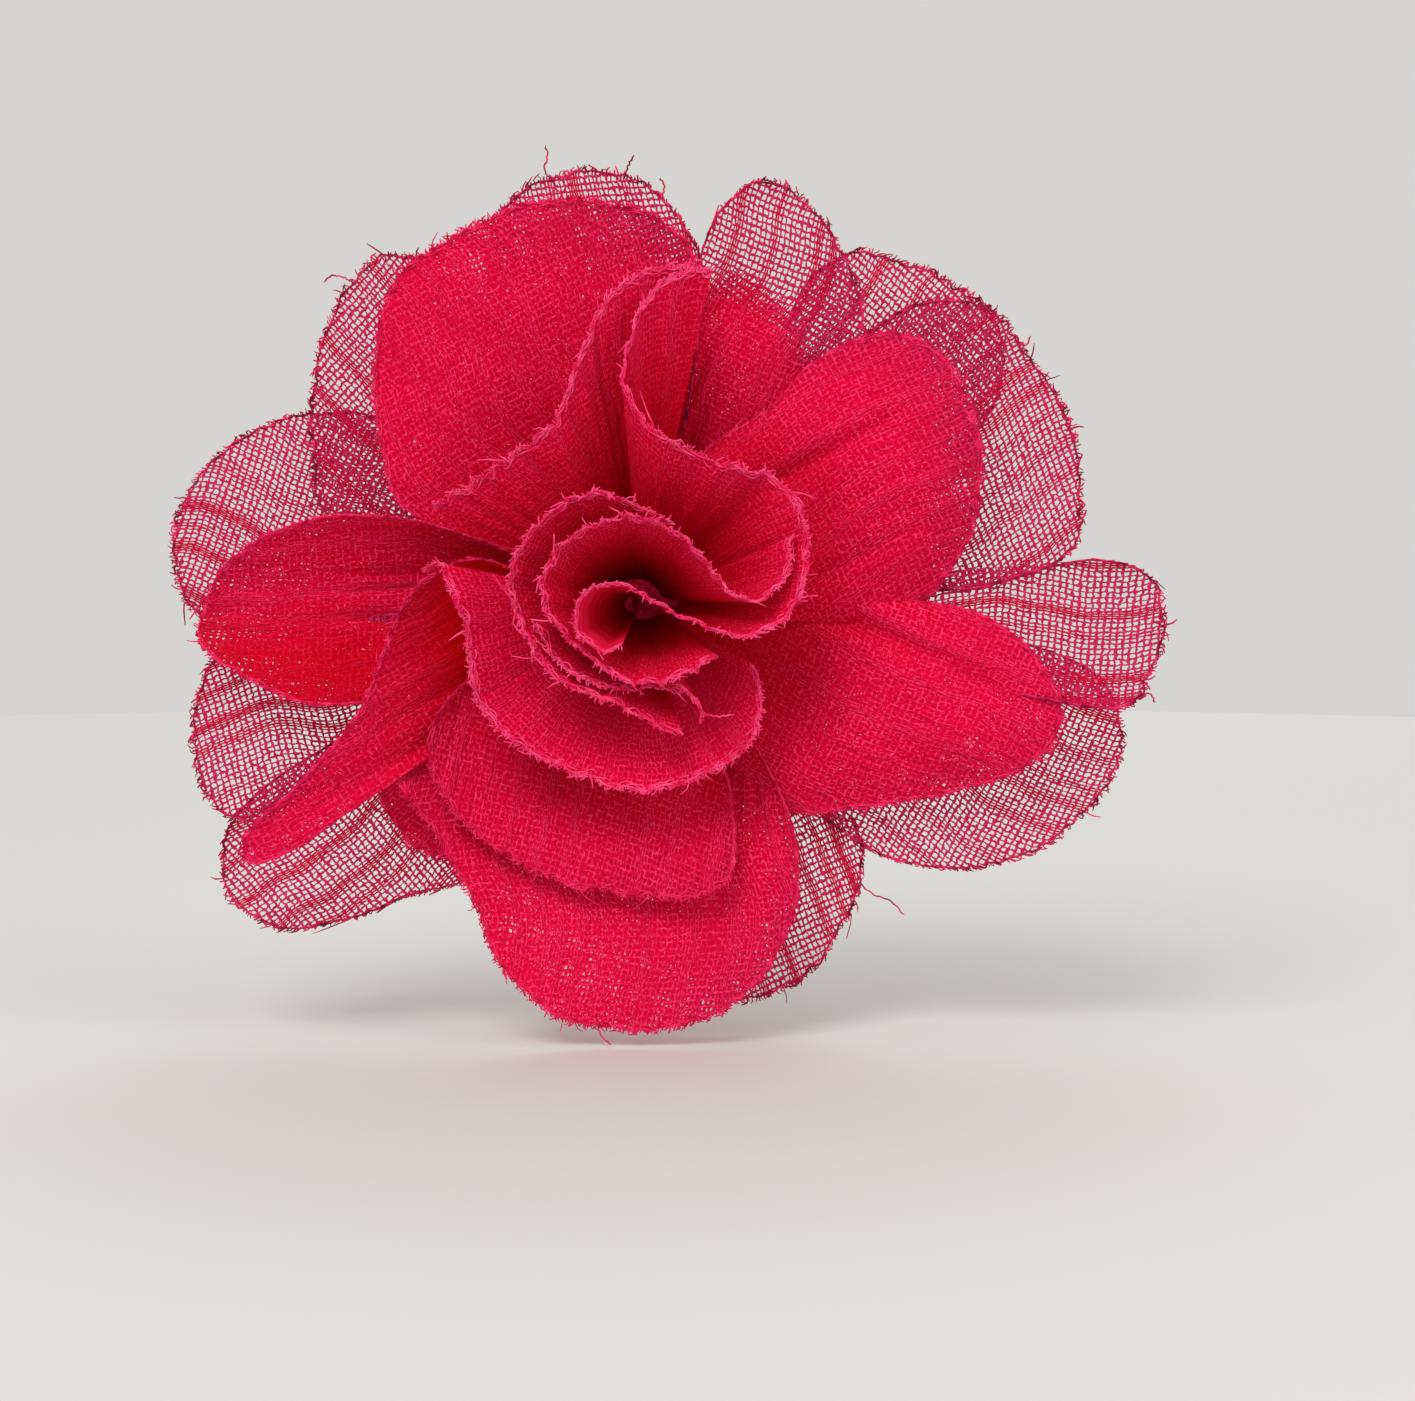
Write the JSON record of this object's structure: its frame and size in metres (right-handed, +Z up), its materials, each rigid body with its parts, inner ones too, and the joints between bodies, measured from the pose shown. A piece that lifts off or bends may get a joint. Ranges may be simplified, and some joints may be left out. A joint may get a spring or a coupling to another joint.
{
  "type": "hair flower",
  "caption": "Layered fabric rose with frayed see-through petals on a felt-backed steel plate that carries a sprung toothed hair clip and a brooch pin.",
  "frame": {"origin": "middle of the clip's grip, on the fixed jaw's inner face and on the flower's axis", "axes": "the flower faces -Y, +Z is up as worn, the clip's mouth points to -X"},
  "size_m": [0.0894, 0.0369, 0.0777],
  "materials": {
    "petal_cloth": "matte",
    "rose_cloth": "matte",
    "felt": "matte",
    "thread": "satin",
    "plated_steel": "satin",
    "spring_wire": "satin",
    "needle_steel": "polished"
  },
  "bodies": {
    "flower": {"base_plate": "plated_steel", "clip_fixed_jaw": "plated_steel", "clip_hinge_pin": "plated_steel", "clip_spring": "spring_wire", "clip_rivets": "plated_steel", "brooch_bar": "plated_steel", "brooch_bar_rivets": "plated_steel", "brooch_needle_rivet": "plated_steel", "felt_back": "felt", "felt_front": "felt", "felt_stitches": "thread", "plate_stitches": "thread", "centre_thread": "thread", "petal_top": "petal_cloth", "petal_top_right": "petal_cloth", "petal_upper_right": "petal_cloth", "petal_right_back": "petal_cloth", "petal_right_round": "petal_cloth", "petal_right_narrow": "petal_cloth", "petal_lower_right_back": "petal_cloth", "petal_lower_right": "petal_cloth", "petal_bottom_right_back": "petal_cloth", "petal_bottom": "petal_cloth", "petal_bottom_inner": "petal_cloth", "petal_bottom_left_under": "petal_cloth", "petal_bottom_left_back": "petal_cloth", "petal_lower_left_back": "petal_cloth", "petal_left_folded": "petal_cloth", "petal_left": "petal_cloth", "petal_left_back": "petal_cloth", "petal_upper_left_back": "petal_cloth", "petal_upper_left": "petal_cloth", "rose_wing": "rose_cloth", "rose_scroll": "rose_cloth", "rose_outer_curl": "rose_cloth", "rose_inner_curl": "rose_cloth", "rose_lower_lip": "rose_cloth", "rose_collar": "rose_cloth"},
    "clip_jaw": {"clip_moving_jaw": "plated_steel"},
    "needle": {"brooch_needle": "needle_steel"},
    "barrel": {"brooch_catch_barrel": "needle_steel"}
  },
  "joints": [
    {"name": "clip_opening", "type": "hinge", "parent": "flower", "child": "clip_jaw", "pos_m": [0.01, 0.0026, 0], "axis": [0, 0, -1], "range_deg": [0, 30], "stiffness_Nm_per_rad": 0.12, "springref_deg": -45.84, "deforming": ["clip_spring"]},
    {"name": "needle_swing", "type": "hinge", "parent": "flower", "child": "needle", "pos_m": [0.0105, 0.005, 0.0095], "axis": [0, 0, -1], "range_deg": [0, 70]},
    {"name": "barrel_turn", "type": "hinge", "parent": "flower", "child": "barrel", "pos_m": [-0.0104, 0.005, 0.0095], "axis": [1, 0, 0], "range_deg": [0, 100]}
  ]
}
